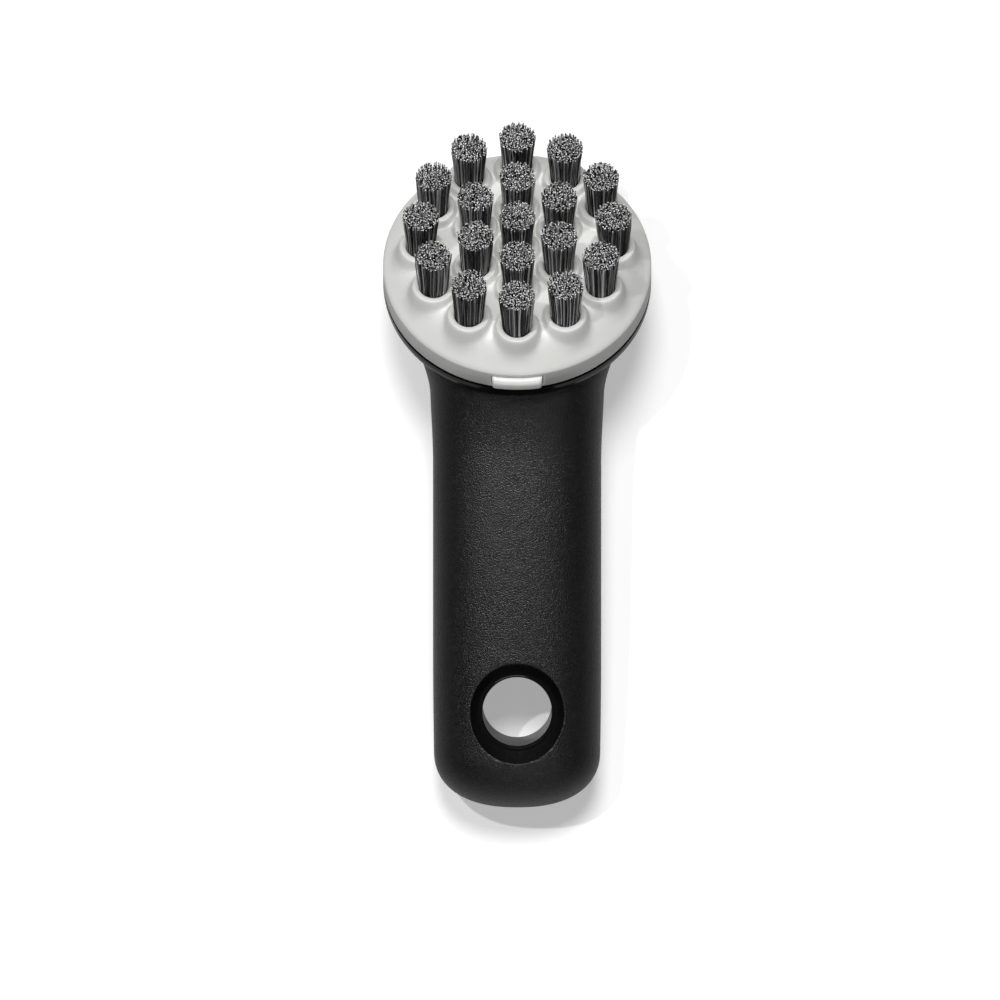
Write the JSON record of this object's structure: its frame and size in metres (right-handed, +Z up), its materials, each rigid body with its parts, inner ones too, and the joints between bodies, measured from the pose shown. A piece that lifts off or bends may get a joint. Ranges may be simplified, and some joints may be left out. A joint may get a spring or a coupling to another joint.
{
  "type": "grill brush",
  "caption": "Hand-held grill brush with a tilted round head of stiff nylon tufts, a release tab for the head and a soft grip with a hanging hole.",
  "frame": {"origin": "bottom centre of the whole outline, on the surface that the brush lies on", "axes": "+Y along the handle towards the head, +Z up from the surface with the tufts up, +X to the right seen from the handle's end"},
  "size_m": [0.0518, 0.1325, 0.0473],
  "materials": {
    "core": "polished black polypropylene",
    "grip": "fine-grained soft-touch elastomer",
    "plate": "satin light warm grey",
    "tab": "satin near white",
    "bristle": "dark grey nylon filament with paler cut ends",
    "staple": "drawn flat wire",
    "spring": "drawn spring wire"
  },
  "bodies": {
    "handle": {"handle_core": "core", "grip": "grip"},
    "brush_head": {"brush_plate": "plate", "tuft_anchors": "staple", "tab_spring": "spring", "tuft_centre": "bristle", "tuft_inner_1": "bristle", "tuft_inner_2": "bristle", "tuft_inner_3": "bristle", "tuft_inner_4": "bristle", "tuft_inner_5": "bristle", "tuft_inner_6": "bristle", "tuft_outer_1": "bristle", "tuft_outer_2": "bristle", "tuft_outer_3": "bristle", "tuft_outer_4": "bristle", "tuft_outer_5": "bristle", "tuft_outer_6": "bristle", "tuft_outer_7": "bristle", "tuft_outer_8": "bristle", "tuft_outer_9": "bristle", "tuft_outer_10": "bristle", "tuft_outer_11": "bristle", "tuft_outer_12": "bristle"},
    "release_tab": {"release_tab": "tab"}
  },
  "joints": [
    {"name": "head_release", "type": "slide", "parent": "handle", "child": "brush_head", "axis": [0, 0.565, 0.8251], "range_m": [0, 0.015]},
    {"name": "tab_press", "type": "slide", "parent": "brush_head", "child": "release_tab", "axis": [0, 0.8251, -0.565], "range_m": [0, 0.0012], "stiffness_N_per_m": 700, "deforming": ["tab_spring"]}
  ]
}
